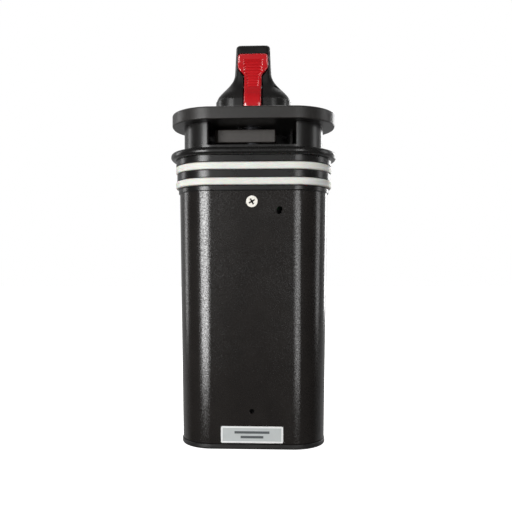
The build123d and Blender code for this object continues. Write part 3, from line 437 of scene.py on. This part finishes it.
def smoothStep(value, low, high):
    t = min(max((value - low) / (high - low), 0), 1)
    return t * t * (3 - 2 * t)


def leverHalfWidth(z):
    shoulder = smoothStep(z, lever["shoulderLow"], lever["shoulderHigh"])
    wide = lever["stemHalf"] + (lever["headHalf"] - lever["stemHalf"]) * shoulder
    into = max(z - (lever["top"] - lever["corner"]), 0)
    return wide - lever["corner"] + math.sqrt(max(lever["corner"] ** 2 - into ** 2, 0))


def leverFront(across, x, z):
    # the front's depth at one point: the side's curve, then the dish, its ribs, the stem's crown and soft edges
    half = leverHalfWidth(z)
    padSide = min(half - lever["padSide"], lever["padHalf"]) - abs(x)
    onPad = (smoothStep(z, lever["ribLow"] - lever["padLead"], lever["ribLow"])
             * smoothStep(min(padSide, lever["padTop"] - z), lever["padWallOut"], lever["padWallIn"]))
    onRib = onPad * (1 - smoothStep(z, lever["ribHigh"] - lever["ribFade"], lever["ribHigh"]))
    rise = (z - lever["ribLow"]) * lever["ribs"] / (lever["ribHigh"] - lever["ribLow"])
    rise -= math.floor(rise)
    rib = lever["ribStep"] * onRib * (smoothStep(rise, 0.0, lever["ribRiseEnd"])
                                      - smoothStep(rise, lever["ribDropStart"], 1.0))
    onStem = 1 - smoothStep(z, lever["ribLow"] - lever["crownFade"], lever["ribLow"])
    crown = lever["crown"] * onStem * (1 - across ** 4)
    fromEdge = min(half - abs(x), lever["top"] - z)
    edgeRound = lever["edgeDrop"] * (1 - smoothStep(fromEdge, 0.0, lever["edgeWide"])) ** 2
    return curveThrough(lever["front"], z) + lever["padSink"] * onPad - rib - crown + edgeRound


bm = bmesh.new()
bmesh.ops.create_grid(bm, x_segments=lever["columns"], y_segments=lever["rows"], size=1.0)
frontFaces = list(bm.faces)
for point in bm.verts:
    across, along = point.co.x, (point.co.y + 1) / 2
    z = lever["bottom"] + (lever["top"] - lever["bottom"]) * along
    x = across * leverHalfWidth(z)
    point.co = Vector((x, leverFront(across, x, z), z)) * millimetre
extruded = bmesh.ops.extrude_face_region(bm, geom=frontFaces)
for point in [item for item in extruded["geom"] if isinstance(item, bmesh.types.BMVert)]:
    point.co.y = curveThrough(lever["back"], point.co.z / millimetre) * millimetre
hubRadius = lever["hubRadius"] * millimetre
hub = bmesh.ops.create_cone(bm, cap_ends=True, segments=lever["hubSides"], radius1=hubRadius, radius2=hubRadius,
                            depth=2 * (lever["stemHalf"] - lever["hubInset"]) * millimetre)
bmesh.ops.rotate(bm, verts=hub["verts"], matrix=Matrix.Rotation(math.radians(90), 3, "Y"))
bmesh.ops.translate(bm, verts=hub["verts"], vec=Vector((0, hubMiddle.y, hubMiddle.z)) * millimetre)
toe = bmesh.ops.create_cube(bm, size=1.0)
toeTall = lever["bottom"] + lever["toeOverlap"] - leverLow.z
bmesh.ops.scale(bm, verts=toe["verts"],
                vec=Vector((2 * lever["toeHalf"], lever["toeDepth"], toeTall)) * millimetre)
bmesh.ops.translate(bm, verts=toe["verts"],
                    vec=Vector((0, lever["toeY"], leverLow.z + toeTall / 2)) * millimetre)
bmesh.ops.recalc_face_normals(bm, faces=bm.faces)
finishPiece(bm, "thumb_lever", "red_lever", sharp=lever["sharp"])
print("lever made")

# a pale floor that glows evenly and lights nothing else
floorLook = dict(colour="f6f6f4", rough=0.7, glow=1.0, size=4.0)
material = startMaterial("paleFloor", {"Base Color": linearColour(floorLook["colour"]),
                         "Roughness": floorLook["rough"], "Emission Color": (1, 1, 1, 1),
                         "Emission Strength": floorLook["glow"]})[0]
floorMesh = bpy.data.meshes.new("floor")
bm = bmesh.new()
bmesh.ops.create_grid(bm, x_segments=1, y_segments=1, size=floorLook["size"])
bm.to_mesh(floorMesh)
bm.free()
floorMesh.materials.append(material)
floor = bpy.data.objects.new("floor", floorMesh)
bpy.context.scene.collection.objects.link(floor)
floor.visible_glossy = False
floor.visible_diffuse = False

# soft lamps round the object; places and sizes are in metres, power in watts
studio = {
    "leftBox": dict(place=(-0.535, -0.94, 0.14), wide=0.45, tall=0.60, power=12.5),
    "rightStrip": dict(place=(0.36, -1.05, 0.15), wide=0.30, tall=0.70, power=3.2),
    "leftSide": dict(place=(-1.05, 0.25, 0.35), wide=0.25, tall=0.80, power=2.2),
    "rightSide": dict(place=(1.05, 0.05, 0.35), wide=0.25, tall=0.80, power=1.6),
    "overhead": dict(place=(0.0, 0.45, 1.00), wide=0.7, tall=0.5, power=3.0),
    "backStrip": dict(place=(0.62, 0.95, 0.35), wide=0.25, tall=0.70, power=4.0),
}
target = Vector((0, 0, 0.14))
for name, look in studio.items():
    light = bpy.data.lights.new(name, "AREA")
    light.shape = "RECTANGLE"
    light.size, light.size_y, light.energy = look["wide"], look["tall"], look["power"]
    lamp = bpy.data.objects.new(name, light)
    lamp.location = look["place"]
    lamp.rotation_euler = (target - lamp.location).to_track_quat("-Z", "Y").to_euler()
    bpy.context.scene.collection.objects.link(lamp)

# soft air: brighter behind the object, dim on the camera's side, and pure white where it is seen directly
air = dict(dimTo=-0.1, brightFrom=0.6, dim=0.02, bright=0.45, seen=1.0)
world = bpy.data.worlds.new("studioAir")
world.use_nodes = True
tree = world.node_tree
tree.nodes.clear()
seen = addNode(tree, "ShaderNodeLightPath").outputs["Is Camera Ray"]
skyward = addNode(tree, "ShaderNodeTexCoord").outputs["Generated"]
heading = addNode(tree, "ShaderNodeSeparateXYZ", links={"Vector": skyward})
behind = addNode(tree, "ShaderNodeMapRange", {"From Min": air["dimTo"], "From Max": air["brightFrom"],
                 "To Min": air["dim"], "To Max": air["bright"]}, {"Value": heading.outputs["Y"]})
white = addNode(tree, "ShaderNodeBackground", {"Color": (1, 1, 1, 1), "Strength": air["seen"]}).outputs[0]
soft = addNode(tree, "ShaderNodeBackground", {"Color": (1, 1, 1, 1)},
               {"Strength": behind.outputs["Result"]}).outputs[0]
both = addNode(tree, "ShaderNodeMixShader", links={0: seen, 1: soft, 2: white})
addNode(tree, "ShaderNodeOutputWorld", links={"Surface": both.outputs[0]})
bpy.context.scene.world = world
bpy.context.scene.view_settings.view_transform = "Standard"

# a level camera in front and a little to the right; places are in metres, the lens and sensor in millimetres
cameraSetup = dict(distance=0.4235, height=0.1177, turn=2.5, lens=42.7, sensor=36, shiftX=0.0048, shiftY=0.0289,
                   nearest=0.01)
cameraData = bpy.data.cameras.new("camera")
cameraData.lens = cameraSetup["lens"]
cameraData.sensor_width = cameraSetup["sensor"]
cameraData.shift_x, cameraData.shift_y = cameraSetup["shiftX"], cameraSetup["shiftY"]
cameraData.clip_start = cameraSetup["nearest"]
camera = bpy.data.objects.new("camera", cameraData)
turn = math.radians(cameraSetup["turn"])
camera.location = (cameraSetup["distance"] * math.sin(turn), -cameraSetup["distance"] * math.cos(turn),
                   cameraSetup["height"])
camera.rotation_euler = (math.radians(90), 0, turn)
bpy.context.scene.collection.objects.link(camera)
bpy.context.scene.camera = camera
print("stage set")
